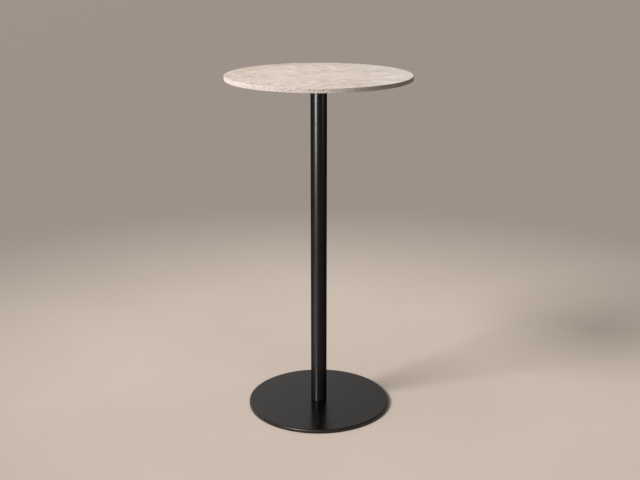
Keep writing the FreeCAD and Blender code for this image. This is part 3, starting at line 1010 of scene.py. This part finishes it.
finishes = {
    "travertine": make_travertine(),
    "black_powder_coat": make_powder_coat("satin_powder_coat", gloss=0.54, rough_low=0.2, rough_high=0.24),
    "turned_steel": make_metal(
        "turned_steel_face", dark=paint(150, 150, 152), light=paint(178, 178, 180),
        rough_low=0.28, rough_high=0.4, per_metre=60.0, turned=True,
    ),
    "zinc_plated_steel": make_metal(
        "zinc_plating", dark=paint(172, 174, 178), light=paint(208, 210, 214),
        rough_low=0.24, rough_high=0.44, per_metre=240.0,
    ),
    "brass": make_metal(
        "turned_brass", dark=paint(196, 160, 96), light=paint(224, 190, 128),
        rough_low=0.25, rough_high=0.38, per_metre=90.0,
    ),
    "gasket_rubber": make_rubbery(
        "gasket_sheet", dark=paint(36, 36, 36), light=paint(46, 46, 46),
        rough_low=0.7, rough_high=0.85, per_metre=60.0,
    ),
    "black_nylon": make_rubbery(
        "moulded_nylon", dark=paint(38, 38, 40), light=paint(48, 48, 50),
        rough_low=0.42, rough_high=0.52, per_metre=200.0,
    ),
    "sole_rubber": make_rubbery(
        "sole_ring_rubber", dark=paint(78, 78, 78), light=paint(94, 94, 93),
        rough_low=0.7, rough_high=0.85, per_metre=200.0,
    ),
}

# The column's sheen is a faint clear coat on a dull ground, so that its two sides stay dark
column_coat = make_powder_coat(
    "column_powder_coat", gloss=0.0, rough_low=0.45, rough_high=0.55,
    Coat_Weight=0.06, Coat_IOR=2.2, Coat_Roughness=0.31,
)

# The base's sheen is slightly warm
base_edge = (node_radius("base_plate"), heights("base_plate")[1])
base_coat = make_powder_coat(
    "base_powder_coat", gloss=0.54, rough_low=0.2, rough_high=0.24, edge=base_edge,
    Specular_Tint=(1.0, 0.93, 0.9, 1.0),
)


# Pieces in their places

def dress(piece, finish):
    """Puts one finish on all of a piece."""
    if not piece.material_slots:
        piece.data.materials.append(finish)
    for socket in piece.material_slots:
        socket.material = finish


def fit(piece, body, finish_slot, *nodes, finish=None):
    """Sets a new piece on its body, in the place of the solids that it stands for."""
    dress(piece, finish or finishes[finish_slot])
    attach(piece, body)
    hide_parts(*nodes)


# The CAD nodes that stay get their finish by the slot they were drawn with
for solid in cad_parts.values():
    for socket in solid.material_slots:
        slot_name = socket.material.name.split(".")[0]
        socket.material = finishes[slot_name]

fit(make_stone_top(), "table", "travertine", "table_top")
column = make_column()
fit(column, "table", "black_powder_coat", "column_tube", finish=column_coat)
base_disc = make_base_disc()
fit(base_disc, "table", "black_powder_coat", "base_plate", finish=base_coat)
fit(make_carrier_plate(), "table", "black_powder_coat", "top_plate")

screw_places = ring_of(SCREW_COUNT, SCREW_RING)
for pattern, node_name in ((make_plate_screw(), "top_screws"), (make_plate_washer(), "top_screw_washers")):
    for number, place in enumerate(screw_places, 1):
        piece = copy_to(pattern, f"{pattern.name}_{number}", place)
        fit(piece, "table", "zinc_plated_steel", node_name)
    remove(pattern)

foot_places = ring_of(FOOT_COUNT, FOOT_RING)
foot_pieces = (
    (make_levelling_pad(), "foot", "black_nylon", "foot_pad"),
    (make_sole_ring(), "foot", "sole_rubber", "foot_sole"),
    (make_levelling_screw(), "foot_screw", "zinc_plated_steel", "foot_screw"),
)
feet = []
for pattern, body, finish_slot, node_name in foot_pieces:
    for number, place in enumerate(foot_places, 1):
        piece = copy_to(pattern, f"{pattern.name}_{number}", place)
        fit(piece, f"{body}_{number}", finish_slot, f"{node_name}_{number}")
        feet.append(piece)
    remove(pattern)

# Floor

FLOOR_SIZE = 160.0
FLOOR_TONE = paint(201, 188, 177)
FLOOR_TONE_LOW = paint(195, 182, 171)
FLOOR_FAR_TONE = paint(150, 141, 134)
FLOOR_NEAR = 0.7
FLOOR_FAR = 2.6
# A painted contact shadow on the floor under the base's edge, and the softness of its border
PAINTED_CONTACT_SHADOW = paint(62, 56, 52)
PAINTED_SHADOW_SOFTNESS = 1.0 * MM


def make_floor():
    let_go()
    bpy.ops.mesh.primitive_plane_add(size=FLOOR_SIZE, location=ORIGIN)
    piece = settle("studio_floor")
    finish, tree, shader, place = new_finish("floor_plaster")
    tone = mottled(tree, place, per_metre=1.2, softness=0.5)
    colour = blend(tree, tone, FLOOR_TONE_LOW, FLOOR_TONE)
    reach = axis_reach(tree, place)
    colour = blend(tree, spread(tree, reach, FLOOR_NEAR, FLOOR_FAR), colour, FLOOR_FAR_TONE)
    # The floor is painted darker where the base stands over it, a painted contact shadow, so that the
    # narrow gap reads as a contact line
    edge = node_radius("base_plate")
    clear_of_painted_shadow = spread(tree, reach, edge - PAINTED_SHADOW_SOFTNESS, edge + PAINTED_SHADOW_SOFTNESS)
    colour = blend(tree, clear_of_painted_shadow, PAINTED_CONTACT_SHADOW, colour)
    set_shader(tree, shader, Base_Color=colour, Roughness=0.9, Specular_IOR_Level=0.1)
    # The floor is clear from below, so that the feet can be looked at
    below = node(tree, "ShaderNodeNewGeometry").outputs["Backfacing"]
    clear = node(tree, "ShaderNodeBsdfTransparent").outputs[0]
    either = node(tree, "ShaderNodeMixShader", {0: below, 1: shader.outputs[0], 2: clear})
    tree.links.new(either.outputs[0], tree.nodes["Material Output"].inputs["Surface"])
    dress(piece, finish)
    return piece


floor = make_floor()

# Light

DAYLIGHT = (1.0, 0.985, 0.975)
WINDOW_PLACE = (-5.7, -3.3, 5.98)
WINDOW_AIM = (0.0, 0.0, 1.0)
WINDOW_STRENGTH = 3.45
WINDOW_SOFTNESS = math.radians(22)


def look(lamp, place, aim):
    """Turns a lamp at a place towards a point."""
    sight = Vector(aim) - Vector(place)
    lamp.rotation_euler = sight.to_track_quat("-Z", "Y").to_euler()


def left_out(name, pieces):
    """A collection that leaves these pieces out of a lamp's light or shadow."""
    collection = bpy.data.collections.new(name)
    for piece in pieces:
        collection.objects.link(piece)
    for member in collection.collection_objects:
        member.light_linking.link_state = "EXCLUDE"
    return collection


def window_light(not_on):
    """Even daylight from a broad source far to the front left, kept off the pieces that would mirror it."""
    let_go()
    bpy.ops.object.light_add(type="SUN", location=WINDOW_PLACE)
    lamp = bpy.context.view_layer.objects.active
    lamp.name = "window_light"
    lamp.data.energy = WINDOW_STRENGTH
    lamp.data.angle = WINDOW_SOFTNESS
    lamp.data.color = DAYLIGHT
    look(lamp, WINDOW_PLACE, WINDOW_AIM)
    lamp.light_linking.receiver_collection = left_out("not_lit_by_window", not_on)


def softbox(name, place, aim, width, height, power, only, through=()):
    """A soft rectangular lamp that looks at a point, isn't seen itself, and lights only some pieces."""
    let_go()
    bpy.ops.object.light_add(type="AREA", location=place)
    lamp = bpy.context.view_layer.objects.active
    lamp.name = name
    lamp.data.shape = "RECTANGLE"
    lamp.data.size = width
    lamp.data.size_y = height
    lamp.data.energy = power
    lamp.data.color = DAYLIGHT
    lamp.visible_camera = False
    look(lamp, place, aim)
    lit = bpy.data.collections.new("lit_by_" + name)
    for piece in only:
        lit.objects.link(piece)
    lamp.light_linking.receiver_collection = lit
    if through:
        lamp.light_linking.blocker_collection = left_out("clear_for_" + name, through)


window_light(not_on=(column, base_disc))

# The streaks that the column shows at its front left, at its foot and at its right, back and left sides
softbox(
    "column_light", place=(-1.68, -1.99, 0.68), aim=(0.0, 0.0, 0.75),
    width=0.35, height=0.45, power=205.0, only=(column,),
)
softbox(
    "foot_light", place=(-1.68, -1.99, -1.5), aim=ORIGIN,
    width=0.3, height=0.4, power=50.0, only=(column,), through=(floor, base_disc),
)
softbox(
    "side_light", place=(2.2, -1.27, 0.78), aim=(0.0, 0.0, 0.78),
    width=0.7, height=0.4, power=12.0, only=(column,),
)
softbox(
    "back_light", place=(0.3, 2.6, 0.75), aim=(0.0, 0.0, 0.75),
    width=0.6, height=0.45, power=70.0, only=(column,),
)
softbox(
    "floor_glow", place=(-0.75, -0.475, 0.01), aim=(-0.75, -0.475, 1.0),
    width=0.9, height=0.95, power=9.0, only=(column,),
)

# The highlight on the base's edge, and the light on its underside and on the feet
softbox(
    "base_light", place=(-1.4, -2.2, 0.2), aim=ORIGIN,
    width=0.6, height=0.3, power=72.0, only=(base_disc,),
)
softbox(
    "under_sheen", place=(0.0, 0.0, -1.5), aim=ORIGIN,
    width=6.0, height=6.0, power=12.0, only=(base_disc,), through=(floor,),
)
softbox(
    "under_light", place=(0.0, 0.0, -1.2), aim=ORIGIN,
    width=1.0, height=1.0, power=14.0, only=feet, through=(floor,),
)

# The room is light to the left, above and behind, and dims towards the right
ROOM_DARK = (0.035, 0.034, 0.033, 1.0)
ROOM_LIGHT = (0.64, 0.62, 0.6, 1.0)
ROOM_LIGHT_WAY = (-0.82, 0.22, 0.5)


def make_room():
    room = bpy.data.worlds.new("studio_room")
    bpy.context.scene.world = room
    room.use_nodes = True
    tree = room.node_tree
    backdrop = tree.nodes["Background"]
    way = node(tree, "ShaderNodeTexCoord").outputs["Generated"]
    share = rising(tree, way, ROOM_LIGHT_WAY, start=-0.8, end=0.7)
    dimming = spread(
        tree, reach_along(tree, way, RIGHT), low=-0.25, high=0.25, to_low=1.0, to_high=0.55
    )
    colour = blend(tree, times(tree, share, dimming), ROOM_DARK, ROOM_LIGHT)
    tree.links.new(colour, backdrop.inputs["Color"])
    backdrop.inputs["Strength"].default_value = 1.0


make_room()

# Camera, where the photograph was taken from

CAMERA_PLACE = (0.0037, -3.0071, 1.4654)
CAMERA_DOWN = math.radians(16.956)
CAMERA_LENS = 57.0
CAMERA_SENSOR_WIDTH = 36.0


def make_camera():
    let_go()
    bpy.ops.object.camera_add(location=CAMERA_PLACE)
    camera = bpy.context.view_layer.objects.active
    camera.name = "photo_camera"
    camera.data.sensor_width = CAMERA_SENSOR_WIDTH
    camera.data.lens = CAMERA_LENS
    camera.rotation_euler = (QUARTER_TURN - CAMERA_DOWN, 0.0, 0.0)
    bpy.context.scene.camera = camera


make_camera()
bpy.context.scene.view_settings.view_transform = "Standard"
